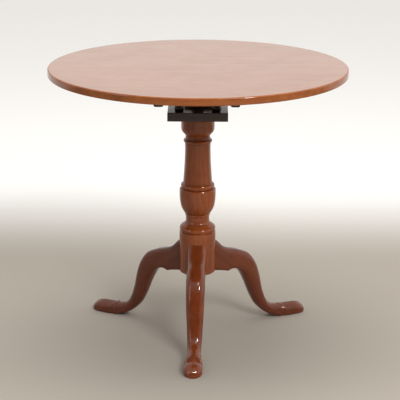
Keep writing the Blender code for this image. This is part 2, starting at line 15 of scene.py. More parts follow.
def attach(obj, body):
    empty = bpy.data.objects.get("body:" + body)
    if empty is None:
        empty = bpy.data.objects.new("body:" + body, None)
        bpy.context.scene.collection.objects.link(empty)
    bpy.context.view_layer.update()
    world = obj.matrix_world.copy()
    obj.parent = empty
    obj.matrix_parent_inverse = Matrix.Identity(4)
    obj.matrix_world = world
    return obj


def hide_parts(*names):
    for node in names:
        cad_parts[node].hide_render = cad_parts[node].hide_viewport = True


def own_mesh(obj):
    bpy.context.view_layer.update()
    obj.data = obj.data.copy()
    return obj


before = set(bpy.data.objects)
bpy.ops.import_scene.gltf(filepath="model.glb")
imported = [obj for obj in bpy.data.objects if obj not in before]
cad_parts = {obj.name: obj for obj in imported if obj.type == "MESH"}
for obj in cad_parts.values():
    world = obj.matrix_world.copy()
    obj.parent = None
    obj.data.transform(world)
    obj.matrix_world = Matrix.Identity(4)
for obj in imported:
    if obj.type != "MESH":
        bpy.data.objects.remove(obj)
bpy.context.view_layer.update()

# Driving dimensions, as in the part
TABLE_HEIGHT = 0.710
TOP_RADIUS = 0.3785
TOP_THICKNESS = 0.019
GAP = 0.0003
UNDERSIDE = TABLE_HEIGHT - TOP_THICKNESS
ARRIS = 0.0035
LEG_TURNS = {"front": math.radians(-91.5), "right": math.radians(28.6), "left": math.radians(149.8)}

BEARER_OFFSET = 0.0895
BEARER_WIDTH = 0.022
BEARER_DEPTH = 0.026
BEARER_HALF_LENGTH = 0.330
BEARER_END_DEPTH = 0.012
BEARER_TAPER = 0.070
BEARER_SCREW_STEPS = (-0.235, -0.125, 0.145, 0.235)

PLATE_HALF = 0.076
PLATE_THICKNESS = 0.0224
LOWER_PLATE_BOTTOM = 0.5838
LOWER_PLATE_TOP = LOWER_PLATE_BOTTOM + PLATE_THICKNESS
UPPER_PLATE_TOP = UNDERSIDE - GAP
UPPER_PLATE_BOTTOM = UPPER_PLATE_TOP - PLATE_THICKNESS
BALUSTER_OFFSET = 0.047
TENON_RADIUS = 0.005
TENON_LENGTH = 0.0115
PINTLE_RADIUS = 0.007
PINTLE_END = BEARER_OFFSET + 0.002
PIVOT_Y = PLATE_HALF - PLATE_THICKNESS / 2
PIVOT_Z = UPPER_PLATE_TOP - PLATE_THICKNESS / 2

BASE_RADIUS = 0.0470
BASE_BOTTOM = 0.165
SHOULDER = LOWER_PLATE_BOTTOM - GAP
SPIGOT_RADIUS = 0.015
SPIGOT_TOP = UPPER_PLATE_BOTTOM - 0.004
TIP_RADIUS = 0.010
TIP_TOP = UPPER_PLATE_BOTTOM + 0.007
WEDGE_BOTTOM = LOWER_PLATE_TOP + GAP
WEDGE_WIDTH = 0.009
WEDGE_ENDS = ((-0.034, 0.0080), (0.038, 0.0105))  # x, height
BORE_ROOM = 0.0004

DOVETAIL_BACK = 0.030
DOVETAIL_FRONT = 0.051
DOVETAIL_BACK_HALF = 0.0090
DOVETAIL_FRONT_HALF = 0.0060
DOVETAIL_TOP = 0.236

STRAP_THICKNESS = 0.0025
STRAP_REACH = 0.066
STRAP_HALF_WIDTH = 0.007
STRAP_HUB_RADIUS = 0.021
STRAP_SCREWS = (0.056, 0.022)

CASE_HALF = 0.016
CASE_BACK = -0.0790
CASE_FRONT = -0.1315
CASE_TOP = UNDERSIDE - GAP
CASE_BOTTOM = CASE_TOP - 0.0102
CASE_WALL = 0.0016
EAR_HALF = 0.027
EAR_THICKNESS = 0.0025
EAR_FRONT = -0.1180
EAR_BACK = -0.0920
BOLT_HALF = 0.006
BOLT_BOTTOM = CASE_BOTTOM + CASE_WALL + 0.0005
BOLT_TOP = BOLT_BOTTOM + 0.0052
BOLT_TAIL = -0.1080
BOLT_NOSE = -0.0685
BOLT_TRAVEL = 0.0085
KNOB_Y = -0.0960
STEM_RADIUS = 0.0025
KNOB_RADIUS = 0.0055
SPRING_RADIUS = 0.0019
SPRING_WIRE = 0.0003
SPRING_TURNS = 6
KEEPER_HALF = 0.022
KEEPER_BACK = -0.0620
KEEPER_FRONT = -PLATE_HALF + GAP
KEEPER_THICKNESS = 0.0019
KEEPER_TOP = UPPER_PLATE_TOP - GAP
POCKET_HALF = 0.0075
POCKET_BACK = -0.0660
CATCH_SCREW_ROWS = (-0.1125, -0.0975)
CATCH_SCREW_COLUMNS = (-0.0215, 0.0215)
KEEPER_SCREWS = (-0.0165, 0.0165)
KEEPER_SCREW_Y = -0.0685

# Screws: head radius, head height, shank radius, length
BEARER_SCREW = (0.0042, 0.0030, 0.0021, 0.038)
STRAP_SCREW = (0.0036, 0.0022, 0.0018, 0.022)
CATCH_SCREW = (0.0030, 0.0016, 0.0014, 0.011)
KEEPER_SCREW = (0.0026, 0.0014, 0.0012, 0.009)
SCREW_LEAD = 0.012  # how far a screw hole's tool starts outside the face

# The leg's outline in its own plane, as (out from the axis, height) of the upper and lower line, with the
# width across the leg there and how square its section is above and below (2 is an ellipse)
LEG_STATIONS = [
    ((0.034, 0.2620), (0.034, 0.1655), 0.049, 3.4, 8.0),
    ((0.054, 0.2430), (0.054, 0.1628), 0.049, 3.4, 8.0),
    ((0.070, 0.2275), (0.071, 0.1598), 0.049, 3.4, 8.0),
    ((0.088, 0.2183), (0.081, 0.1572), 0.049, 3.2, 8.0),
    ((0.104, 0.2133), (0.092, 0.1606), 0.049, 3.2, 7.0),
    ((0.122, 0.2078), (0.105, 0.1590), 0.049, 3.0, 5.0),
    ((0.150, 0.1945), (0.115, 0.1535), 0.049, 2.8, 3.6),
    ((0.170, 0.1690), (0.129, 0.1390), 0.048, 2.6, 2.8),
    ((0.183, 0.1330), (0.143, 0.1115), 0.046, 2.4, 2.4),
    ((0.193, 0.0900), (0.158, 0.0755), 0.042, 2.3, 2.3),
    ((0.206, 0.0560), (0.178, 0.0405), 0.038, 2.2, 2.4),
    ((0.222, 0.0400), (0.210, 0.0130), 0.035, 2.2, 3.0),
    ((0.244, 0.0334), (0.246, 0.0000), 0.0375, 2.0, 7.0),
    ((0.265, 0.0308), (0.265, 0.0000), 0.043, 1.85, 8.0),
]
SOLE_SUNK = -0.0012  # where the sections' lower line runs along the sole, before the floor cuts it flat
TOE_START = 0.289
TOE_HEIGHT = 0.0298
TOE_WIDTH = 0.0475
TOE_REACH = 0.3300

# The carving of the foot
CARVING_START = 0.20
INSTEP = 0.246  # how far out the ridge across the instep has its point
RIDGE_SLOPE = 0.8
RIDGE_HEIGHT = 0.0019
RIDGE_WIDTH = 0.0024
FURROW_DEPTH = 0.4 * RIDGE_HEIGHT
FURROW_SHIFT = 2.4 * RIDGE_WIDTH
KEEL_HEIGHT = 0.0012
KEEL_HALF_WIDTH = 0.004
KEEL_LEAD = 0.02

# How the pieces are made
PILLAR_SIDES = 144
TOP_SIDES = 288
SMALL_SIDES = 64
SCREW_SIDES = 32
LEG_STEPS = 7
LEG_SIDES = 80
TOE_RINGS = 22
TOE_TURN = math.radians(87)
SHARP = 38.0  # edges that turn by more degrees than this stay sharp
OVERCUT = 0.01  # how far a cutting tool sticks out of what it cuts


# ------------------------ materials

class Graph:
    """A material's or a world's nodes, made by short calls. An input takes a number, a tuple or a socket."""

    def __init__(self, owner):
        self.owner = owner
        owner.use_nodes = True
        self.tree = owner.node_tree

    def feed(self, socket, value):
        if isinstance(value, bpy.types.NodeSocket):
            self.tree.links.new(value, socket)
        elif isinstance(value, tuple) and len(value) == 3 and socket.type == "RGBA":
            socket.default_value = (*value, 1.0)
        else:
            socket.default_value = value

    def add(self, kind, inputs=(), **settings):
        made = self.tree.nodes.new("ShaderNode" + kind)
        for key, value in settings.items():
            setattr(made, key, value)
        for key, value in dict(inputs).items():
            self.feed(made.inputs[key], value)
        return made

    def math(self, operation, a, b=0.0, clamp=False):
        made = self.add("Math", {0: a, 1: b}, operation=operation, use_clamp=clamp)
        return made.outputs[0]

    def stretched(self, turn, scale, shift=(0.0, 0.0, 0.0)):
        """Object coordinates turned about Y and shifted, then scaled on each axis."""
        place = self.add("TexCoord").outputs["Object"]
        turned_to = self.add("Mapping", {"Vector": place, "Rotation": (0.0, turn, 0.0), "Location": shift})
        return self.add("Mapping", {"Vector": turned_to.outputs[0], "Scale": scale}).outputs[0]

    def noise(self, vector, scale, detail, roughness=0.5, distortion=0.0):
        return self.add("TexNoise", {
            "Vector": vector, "Scale": scale, "Detail": detail,
            "Roughness": roughness, "Distortion": distortion,
        }).outputs["Fac"]

    def spread(self, value, low, high, to_low=0.0, to_high=1.0, smooth=True):
        """value from low..high to to_low..to_high, held at both ends."""
        kind = "SMOOTHSTEP" if smooth else "LINEAR"
        values = {"Value": value, "From Min": low, "From Max": high, "To Min": to_low, "To Max": to_high}
        return self.add("MapRange", values, interpolation_type=kind).outputs[0]

    def mix(self, factor, a, b):
        made = self.add("Mix", data_type="RGBA")
        self.feed(made.inputs[0], factor)
        self.feed(made.inputs[6], a)
        self.feed(made.inputs[7], b)
        return made.outputs[2]

    def ramp(self, value, stops):
        made = self.add("ValToRGB", {"Fac": value})
        elements = made.color_ramp.elements
        while len(elements) < len(stops):
            elements.new(0.5)
        for element, (position, colour) in zip(elements, stops):
            element.position = position
            element.color = (*colour, 1.0)
        return made.outputs[0]

    def attribute(self, name):
        return self.add("Attribute", attribute_name=name).outputs["Fac"]

    def bump(self, height, strength, distance):
        values = {"Height": height, "Strength": strength, "Distance": distance}
        return self.add("Bump", values).outputs[0]

    def finish(self, shader="Principled BSDF", **values):
        """Feeds the shader's sockets, named with underscores for spaces, and gives the material or world."""
        for key, value in values.items():
            self.feed(self.tree.nodes[shader].inputs[key.replace("_", " ")], value)
        return self.owner


# Grain: its turn about Y, and the scale on each axis, which is small along the fibres
GRAIN_X = (0.0, (0.035, 1.0, 1.0))
GRAIN_Y = (0.0, (1.0, 0.035, 1.0))
GRAIN_Z = (0.0, (1.0, 1.0, 0.035))
GRAIN_DOWN_LEG = (math.radians(-40), (0.035, 1.0, 1.0))


def edge_nearness(g, half, low, high, width):
    """1 on the edges of a box that is centred on the Z axis, 0 a width away from them."""
    xyz = g.add("SeparateXYZ", {0: g.add("TexCoord").outputs["Object"]})
    gaps = [g.math("SUBTRACT", half, g.math("ABSOLUTE", xyz.outputs[i])) for i in (0, 1)]
    top = g.math("SUBTRACT", high, xyz.outputs[2])
    bottom = g.math("SUBTRACT", xyz.outputs[2], low)
    level = g.math("MINIMUM", top, bottom)
    near = g.math("MINIMUM", gaps[0], gaps[1])
    far = g.math("MAXIMUM", gaps[0], gaps[1])
    second = g.math("MAXIMUM", near, g.math("MINIMUM", far, level))
    return g.spread(second, 0.0, width, 1.0, 0.0)


def mahogany(name, grain, tones, shift=(0.0, 0.0, 0.0), gloss=0.09, coat=None, edges=None, figure=1.0):
    """Polished mahogany: ribbon figure, fine fibres, dark pores, rubbed edges and wax in the hollows.

    gloss is the polish's roughness, coat the roughness of a clear coat over it, and edges what edge_nearness
    takes. figure is the contrast of the wood.
    """
    g = Graph(bpy.data.materials.new(name))
    turn, scale = grain
    place = g.stretched(turn, scale, shift)
    broad_scale = tuple(min(1.0, s * 3.2) for s in scale)
    broad_place = g.stretched(turn, broad_scale, shift)
    ribbons = g.noise(broad_place, 26.0, 3.0, 0.55, 0.35)
    fibres = g.noise(place, 260.0, 4.0, 0.65, 0.1)
    lines = g.noise(place, 70.0, 3.0, 0.6, 0.2)
    pores = g.spread(g.noise(place, 820.0, 1.5, 0.6), 0.60, 0.70)
    swing = g.math("ADD", g.math("MULTIPLY", ribbons, 0.55), g.math("MULTIPLY", lines, 0.55))
    swing = g.math("ADD", swing, g.math("MULTIPLY", fibres, 0.45))
    mean_swing = 0.775
    tone = g.spread(swing, mean_swing - 0.5 / figure, mean_swing + 0.5 / figure, smooth=False)
    dark, middle, light = tones
    colour = g.ramp(tone, ((0.30, dark), (0.50, middle), (0.72, light)))
    colour = g.mix(g.math("MULTIPLY", pores, 0.45 * figure), colour, tuple(c * 0.35 for c in dark))
    plain = g.add("TexCoord").outputs["Object"]
    blotches = g.noise(plain, 11.0, 4.0, 0.6)
    colour = g.mix(g.spread(blotches, 0.45, 0.75, 0.0, 0.30 * figure), colour, tuple(c * 0.55 for c in dark))
    patina = g.attribute("patina")
    rubbed = g.math("MAXIMUM", patina, 0.0, clamp=True)
    if edges:
        rubbed = g.math("MAXIMUM", rubbed, edge_nearness(g, *edges))
    scuffs = g.spread(g.noise(plain, 95.0, 5.0, 0.7), 0.42, 0.66)
    rubbed = g.math("MULTIPLY", rubbed, scuffs)
    colour = g.mix(g.math("MULTIPLY", rubbed, 0.45), colour, tuple(min(1.0, c * 1.4) for c in light))
    grime = g.math("MULTIPLY", patina, -1.0, clamp=True)
    colour = g.mix(g.math("MULTIPLY", grime, 0.35), colour, (0.010, 0.004, 0.003))
    roughness = g.spread(blotches, 0.3, 0.7, gloss - 0.02, gloss + 0.04)
    roughness = g.math("ADD", roughness, g.math("MULTIPLY", pores, 0.08))
    roughness = g.math("ADD", roughness, g.math("MULTIPLY", grime, 0.35), clamp=True)
    waves = g.noise(broad_place, 60.0, 2.0)
    height = g.math("SUBTRACT", g.math("MULTIPLY", waves, 0.5), g.math("MULTIPLY", pores, 0.25))
    normal = g.bump(height, 0.07, 0.0006)
    wax = {}
    if coat:
        wax = {"Coat_Weight": 1.0, "Coat_Roughness": coat, "Coat_Normal": g.bump(waves, 0.05, 0.0006)}
    return g.finish(Base_Color=colour, Roughness=roughness, Normal=normal, IOR=1.5, **wax)


def raw_wood(name, grain, tones):
    """Unpolished wood: dry fibres, a greyish bloom and fine tool marks."""
    g = Graph(bpy.data.materials.new(name))
    turn, scale = grain
    place = g.stretched(turn, scale)
    fibres = g.noise(place, 300.0, 5.0, 0.7, 0.2)
    lines = g.noise(place, 80.0, 3.0, 0.6, 0.4)
    tone = g.math("ADD", g.math("MULTIPLY", fibres, 0.5), g.math("MULTIPLY", lines, 0.5))
    dark, middle, light = tones
    colour = g.ramp(tone, ((0.30, dark), (0.50, middle), (0.70, light)))
    plain = g.add("TexCoord").outputs["Object"]
    bloom = g.spread(g.noise(plain, 14.0, 5.0, 0.65), 0.40, 0.75, 0.0, 0.35)
    colour = g.mix(bloom, colour, tuple(0.6 * c + 0.02 for c in dark))
    normal = g.bump(tone, 0.35, 0.0005)
    roughness = g.spread(fibres, 0.3, 0.7, 0.60, 0.82)
    return g.finish(Base_Color=colour, Roughness=roughness, Normal=normal)


def metal(name, bright, dull, roughness):
    """Old metal: a tarnished film that is rubbed through in places, with fine scratches."""
    g = Graph(bpy.data.materials.new(name))
    plain = g.add("TexCoord").outputs["Object"]
    film = g.spread(g.noise(plain, 120.0, 5.0, 0.65), 0.38, 0.66)
    specks = g.spread(g.noise(plain, 900.0, 3.0, 0.6), 0.60, 0.72)
    colour = g.mix(film, bright, dull)
    colour = g.mix(g.math("MULTIPLY", specks, 0.6), colour, tuple(c * 0.35 for c in dull))
    scratches = g.noise(g.stretched(0.6, (0.08, 1.0, 1.0)), 400.0, 3.0, 0.6)
    rough = g.spread(scratches, 0.0, 1.0, roughness, roughness + 0.14, smooth=False)
    rough = g.math("ADD", g.math("MULTIPLY", film, 0.16), rough)
    normal = g.bump(g.math("ADD", scratches, film), 0.18, 0.0002)
    return g.finish(Base_Color=colour, Roughness=rough, Normal=normal, Metallic=1.0)


def pale_floor():
    """A plain floor with a painted shadow: a darker grey under the table than in front of it, and behind the
    table paler and glowing faintly, like a studio sweep.
    """
    g = Graph(bpy.data.materials.new("pale_floor"))
    back = g.add("SeparateXYZ", {0: g.add("TexCoord").outputs["Object"]}).outputs[1]
    # painted shadow: the grey darkens from the front of the floor to under the table
    colour = g.mix(g.spread(back, -0.9, -0.2), (0.48, 0.44, 0.38), (0.41, 0.37, 0.32))
    colour = g.mix(g.spread(back, 0.55, 1.5), colour, (0.80, 0.79, 0.77))
    glow = g.spread(back, 0.55, 1.5, 0.0, 0.22)
    return g.finish(
        Base_Color=colour, Roughness=0.9, Specular_IOR_Level=0.1,
        Emission_Color=(1.0, 0.98, 0.95), Emission_Strength=glow,
    )


# Each wood's dark, middle and light tone
TOP_TONES = ((0.200, 0.062, 0.020), (0.340, 0.112, 0.034), (0.460, 0.170, 0.058))
RIM_TONES = ((0.180, 0.044, 0.010), (0.320, 0.088, 0.019), (0.460, 0.145, 0.034))
PILLAR_TONES = ((0.150, 0.031, 0.008), (0.285, 0.064, 0.014), (0.420, 0.112, 0.026))
# painted shade: the legs' tones are darker than the pillar's, and darker still the further a leg turns from
# the key light at the front right, so the left leg is darkest and the front one lightest
LEG_SHADED_TONES = {
    "front": ((0.105, 0.019, 0.006), (0.195, 0.040, 0.010), (0.290, 0.072, 0.017)),
    "right": ((0.085, 0.017, 0.006), (0.160, 0.034, 0.010), (0.240, 0.062, 0.017)),
    "left": ((0.066, 0.013, 0.005), (0.124, 0.025, 0.008), (0.190, 0.048, 0.013)),
}
CAGE_TONES = ((0.015, 0.005, 0.004), (0.034, 0.011, 0.009), (0.060, 0.021, 0.015))
BEARER_TONES = ((0.018, 0.008, 0.005), (0.036, 0.015, 0.009), (0.060, 0.026, 0.014))
RAW_TONES = ((0.060, 0.030, 0.018), (0.100, 0.052, 0.030), (0.150, 0.082, 0.048))
PALE_TONES = ((0.210, 0.120, 0.058), (0.310, 0.185, 0.095), (0.420, 0.270, 0.150))


# ------------------------ shapes

def along_curve(points, steps):
    """Points on a smooth curve through the given ones, which may have any number of coordinates."""
    rows = [points[0], *points, points[-1]]
    curve = []
    for before, start, end, after in zip(rows, rows[1:], rows[2:], rows[3:]):
        for k in range(steps):
            t = k / steps
            curve.append(tuple(
                0.5 * (
                    2 * b + (c - a) * t
                    + (2 * a - 5 * b + 4 * c - d) * t**2
                    + (3 * b - a - 3 * c + d) * t**3
                )
                for a, b, c, d in zip(before, start, end, after)
            ))
    return [*curve, tuple(points[-1])]


def bead(radius, reach, low, high, steps=12):
    """A half-round moulding: it swells from radius to radius + reach between two heights, top first."""
    middle, half = (low + high) / 2, (high - low) / 2
    angles = [math.pi * k / steps for k in range(steps + 1)]
    return [(radius + reach * math.sin(a), middle + half * math.cos(a)) for a in angles]


def arc(radius, height, size, start, end, steps):
    """Points on an arc about (radius, height), between two angles in degrees."""
    angles = [math.radians(start + (end - start) * k / steps) for k in range(steps + 1)]
    return [(radius + size * math.cos(a), height + size * math.sin(a)) for a in angles]


def bend(before, here, after):
    """How sharply a line of 2-D points bends at one of them, per metre; to the left is positive."""
    ax, ay = here[0] - before[0], here[1] - before[1]
    bx, by = after[0] - here[0], after[1] - here[1]
    length = (math.hypot(ax, ay) + math.hypot(bx, by)) / 2
    shortest = 0.0004
    return math.atan2(ax * by - ay * bx, ax * bx + ay * by) / max(length, shortest)


def wear_along(profile, rub_at=500.0):
    """Patina down a turned profile: above 0 where it stands proud, below 0 in a hollow."""
    grime_at = 260.0
    bends = [0.0]
    for before, here, after in zip(profile, profile[1:], profile[2:]):
        bends.append(-bend(before, here, after))
    bends.append(0.0)
    patina = []
    for k in range(len(bends)):
        near = bends[max(0, k - 1):k + 2]
        mean = sum(near) / len(near)
        patina.append(min(1.0, mean / rub_at) if mean > 0 else max(-1.0, mean / grime_at))
    return patina


def add_rings(bm, rings, patina=None, material=0, ends=True):
    """A skin through rings of points, given back as vertices. patina has a value or a list for each ring."""
    layer = bm.verts.layers.float.get("patina") or bm.verts.layers.float.new("patina")
    loops = []
    for k, ring in enumerate(rings):
        loop = [bm.verts.new(point) for point in ring]
        for i, corner in enumerate(loop):
            value = patina[k] if patina else 0.0
            corner[layer] = value[i] if isinstance(value, list) else value
        loops.append(loop)
    for near, far in zip(loops, loops[1:]):
        for i, corner in enumerate(near):
            j = (i + 1) % len(near)
            bm.faces.new((corner, near[j], far[j], far[i])).material_index = material
    if ends:
        for loop in (loops[0], loops[-1]):
            bm.faces.new(loop).material_index = material
    return loops


def turned_rings(profile, sides, place=Matrix.Identity(4)):
    """Rings of a turned profile of (radius, height) points."""
    angles = [2 * math.pi * i / sides for i in range(sides)]
    return [[place @ Vector((r * math.cos(a), r * math.sin(a), z)) for a in angles] for r, z in profile]


def to_object(name, bm, materials=(), sharp=SHARP):
    """An object from a bmesh, shaded smooth with edges above the sharp angle kept."""
    bmesh.ops.recalc_face_normals(bm, faces=bm.faces)
    mesh = bpy.data.meshes.new(name)
    bm.to_mesh(mesh)
    bm.free()
    mesh.shade_smooth()
    mesh.set_sharp_from_angle(angle=math.radians(sharp))
    for mat in materials:
        mesh.materials.append(mat)
    obj = bpy.data.objects.new(name, mesh)
    bpy.context.collection.objects.link(obj)
    return obj


def skinned(name, rings, materials=(), sharp=SHARP, patina=None):
    bm = bmesh.new()
    add_rings(bm, rings, patina)
    return to_object(name, bm, materials, sharp)


def turned(name, profile, sides, materials=(), place=Matrix.Identity(4)):
    return skinned(name, turned_rings(profile, sides, place), materials, patina=wear_along(profile))


def slab(name, low, high, materials=(), round_edges=0.0, segments=3):
    """A box with rounded edges."""
    bm = bmesh.new()
    corners = [(low[0], low[1]), (high[0], low[1]), (high[0], high[1]), (low[0], high[1])]
    add_rings(bm, [[Vector((x, y, z)) for x, y in corners] for z in (low[2], high[2])])
    if round_edges:
        bmesh.ops.bevel(bm, geom=bm.edges, offset=round_edges, segments=segments, profile=0.5, affect="EDGES")
    return to_object(name, bm, materials, 60.0)


def extruded(name, outline, half_width, materials, round_edges):
    """An outline in Y and Z, drawn out along X to both sides, with its sharp edges rounded."""
    bm = bmesh.new()
    add_rings(bm, [[Vector((x, y, z)) for y, z in outline] for x in (-half_width, half_width)])
    sharp_edges = [e for e in bm.edges if e.calc_face_angle(0.0) > math.radians(30)]
    bmesh.ops.bevel(bm, geom=sharp_edges, offset=round_edges, segments=2, profile=0.5, affect="EDGES")
    return to_object(name, bm, materials, 40.0)


def modified(obj):
    """Applies the modifiers: the object's mesh becomes the evaluated one."""
    bpy.context.view_layer.update()
    made = bpy.data.meshes.new_from_object(obj.evaluated_get(bpy.context.evaluated_depsgraph_get()))
    old = obj.data
    obj.modifiers.clear()
    obj.data = made
    bpy.data.meshes.remove(old)
    made.name = obj.name


def cut(obj, tools, operation="DIFFERENCE", sharp=SHARP):
    """Cuts the tools out of obj, or joins them to it, and throws the tools away."""
    for tool in tools:
        modifier = obj.modifiers.new(tool.name, "BOOLEAN")
        modifier.operation = operation
        modifier.solver = "EXACT"
        modifier.object = tool
    modified(obj)
    for tool in tools:
        mesh = tool.data
        bpy.data.objects.remove(tool)
        bpy.data.meshes.remove(mesh)
    obj.data.set_sharp_from_angle(angle=math.radians(sharp))


def flat_shading(obj):
    """Keeps flat faces flat beside their rounded edges."""
    modifier = obj.modifiers.new("Flat faces", "WEIGHTED_NORMAL")
    modifier.keep_sharp = True
    modifier.weight = 90
    modified(obj)


def finish_piece(obj, body, slot, *nodes):
    """Puts a finished piece on its CAD body, in its nodes' place."""
    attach(obj, body)
    if nodes:
        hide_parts(*nodes)


# ------------------------ the stand

def pillar_profile():
    """Radius and height from the shoulder under the cage down to the foot of the base."""
    lip = [(0.0414, SHOULDER), (0.0425, SHOULDER - 0.0006), (0.0429, SHOULDER - 0.002)]
    cup = along_curve(
        [(0.0429, 0.570), (0.0429, 0.551), (0.0407, 0.543), (0.0366, 0.5378), (0.0322, 0.5326)], 8
    )
    neck = [(0.0314, 0.5316), (0.0314, 0.5300), (0.0314, 0.5240)]
    collar = bead(0.0328, 0.0039, 0.5130, 0.5222)
    shaft = along_curve(
        [(0.0330, 0.508), (0.0329, 0.495), (0.0339, 0.464), (0.0359, 0.432), (0.0379, 0.406)], 6
    )
    ring = bead(0.0409, 0.0026, 0.3935, 0.4045)
    shoulder = arc(0.0429, 0.3882, 0.0039, 75, 10, 8)
    urn = along_curve(
        [(0.0468, 0.3882), (0.0470, 0.3800), (0.0466, 0.3690), (0.0455, 0.3580), (0.0427, 0.3435),
         (0.0375, 0.3325), (0.0328, 0.3255)], 8
    )
    fillet = [*bead(0.0318, 0.0006, 0.3205, 0.3240, 6), (0.0300, 0.3195)]
    waist = along_curve(
        [(0.0303, 0.3180), (0.0306, 0.3060), (0.0335, 0.2995), (0.0403, 0.2948), (0.0443, 0.2915)], 8
    )
    torus = bead(0.0434, 0.0032, 0.2783, 0.2900)
    base = [
        (0.0440, 0.2777),
        (0.0440, 0.2767),
        *arc(BASE_RADIUS - 0.0012, 0.2743, 0.0012, 80, 0, 4),
        (BASE_RADIUS, 0.2600),
        (BASE_RADIUS, 0.2300),
        (BASE_RADIUS, 0.1950),
        (BASE_RADIUS, BASE_BOTTOM + 0.006),
        *arc(BASE_RADIUS - 0.006, BASE_BOTTOM + 0.006, 0.006, -8, -90, 8),
    ]
    upper = [*lip, *cup, *neck, *collar, *shaft, *ring]
    return [*upper, *shoulder, *urn, *fillet, *waist, *torus, *base]


def dovetail(name, ease, bottom, turn):
    """A leg's tongue, or with some ease the socket that it slides up into."""
    slope = (DOVETAIL_BACK_HALF - DOVETAIL_FRONT_HALF) / (DOVETAIL_FRONT - DOVETAIL_BACK)
    back, front = DOVETAIL_BACK - ease, DOVETAIL_FRONT
    back_half, front_half = DOVETAIL_BACK_HALF + ease * (1 + slope), DOVETAIL_FRONT_HALF + ease
    outline = [(back, -back_half), (front, -front_half), (front, front_half), (back, back_half)]
    turning = Matrix.Rotation(turn, 3, "Z")
    levels = (bottom, DOVETAIL_TOP + ease)
    return skinned(name, [[turning @ Vector((x, y, z)) for x, y in outline] for z in levels])


def spigot_profile():
    """The pin above the shoulder, which the cage turns on."""
    return [
        (TIP_RADIUS - 0.001, TIP_TOP),
        *arc(TIP_RADIUS - 0.001, TIP_TOP - 0.001, 0.001, 80, 0, 3),
        (TIP_RADIUS, SPIGOT_TOP),
        (SPIGOT_RADIUS - 0.0006, SPIGOT_TOP),
        (SPIGOT_RADIUS, SPIGOT_TOP - 0.0006),
        (SPIGOT_RADIUS, 0.640),
        (SPIGOT_RADIUS, 0.600),
        (SPIGOT_RADIUS, SHOULDER),
    ]


def make_pillar(polished, raw):
    """One turning: polished below the shoulder, bare above it and underneath."""
    bm = bmesh.new()
    profile = pillar_profile()
    spigot = spigot_profile() + profile[:1]
    bare = add_rings(bm, turned_rings(spigot, PILLAR_SIDES), None, 1, ends=False)
    outer = add_rings(bm, turned_rings(profile, PILLAR_SIDES), wear_along(profile), 0, ends=False)
    for end in (bare[0], outer[-1]):
        bm.faces.new(end).material_index = 1
    bmesh.ops.remove_doubles(bm, verts=bm.verts, dist=1e-6)
    pillar = to_object("pillar_turned", bm, (polished, raw), 40.0)
    half, reach = WEDGE_WIDTH / 2 + GAP, 2 * SPIGOT_RADIUS
    low = (-reach, -half, WEDGE_BOTTOM - 2 * GAP)
    high = (reach, half, WEDGE_BOTTOM + WEDGE_ENDS[1][1] + GAP)
    bottom = BASE_BOTTOM - OVERCUT
    tools = [dovetail(f"socket_{side}", GAP, bottom, turn) for side, turn in LEG_TURNS.items()]
    tools.append(slab("wedge_slot", low, high))
    cut(pillar, tools, sharp=40.0)
    finish_piece(pillar, "stand", "stand_mahogany", "pillar")


def evenly(ring, count):
    """The closed ring as count points, evenly spaced along it from its first point."""
    lengths = [0.0]
    closed = [*ring, ring[0]]
    for a, b in zip(closed, closed[1:]):
        lengths.append(lengths[-1] + (b - a).length)
    spaced, k = [], 0
    for i in range(count):
        target = lengths[-1] * i / count
        while lengths[k + 1] < target:
            k += 1
        span = lengths[k + 1] - lengths[k]
        spaced.append(closed[k].lerp(closed[k + 1], (target - lengths[k]) / span if span else 0.0))
    return spaced


def leg_section(upper_x, upper_z, lower_x, lower_z, width, over, under):
    """One section between the two lines, each half with its own squareness, cut flat by the floor."""
    low = lower_z if lower_z > 0.0005 else SOLE_SUNK
    middle = Vector(((upper_x + lower_x) / 2, 0, (upper_z + low) / 2))
    rise = Vector(((upper_x - lower_x) / 2, 0, (upper_z - low) / 2))
    ring, fine = [], 8 * LEG_SIDES
    for k in range(fine):
        angle = 2 * math.pi * k / fine
        c, s = math.cos(angle), math.sin(angle)
        power = 2 / (over if c > 0 else under)
        point = middle + rise * math.copysign(abs(c) ** power, c)
        point.y = width / 2 * math.copysign(abs(s) ** power, s)
        point.z = max(point.z, 0.0)
        ring.append(point)
    return evenly(ring, LEG_SIDES)


def leg_sections():
    """The sections from the pillar out to the toe, whose end is rounded."""
    stations = [(*upper, *lower, width, over, under) for upper, lower, width, over, under in LEG_STATIONS]
    stations = along_curve(stations, LEG_STEPS)
    over, under = stations[-1][-2:]
    for k in range(TOE_RINGS):
        angle = TOE_TURN * k / (TOE_RINGS - 1)
        along = math.sin(angle)
        out = TOE_START + (TOE_REACH - TOE_START) * along
        height = TOE_HEIGHT * math.cos(angle)**0.9
        width = TOE_WIDTH * (1 - along**3.2)**0.6
        stations.append((out, height, out, 0.0, width, over, under))
    return [leg_section(*station) for station in stations]


def start_at_pillar(rings):
    """Draws each line of the leg back to where it leaves the pillar, so that the leg fits round it."""
    reach = BASE_RADIUS + 0.0002
    started = []
    for column in zip(*rings):
        k = max(i for i, p in enumerate(column[:LEG_STEPS * 3]) if math.hypot(p.x, p.y) < reach)
        inside, outside = column[k], column[k + 1]
        low, high = 0.0, 1.0
        for _ in range(30):
            t = (low + high) / 2
            p = inside.lerp(outside, t)
            low, high = (t, high) if math.hypot(p.x, p.y) < reach else (low, t)
        first = inside.lerp(outside, high)
        started.append([first, *column[k + 1:]])
    shortest = min(len(line) for line in started)
    even = [[line[0], *line[1 + len(line) - shortest:]] for line in started]
    return [list(ring) for ring in zip(*even)]


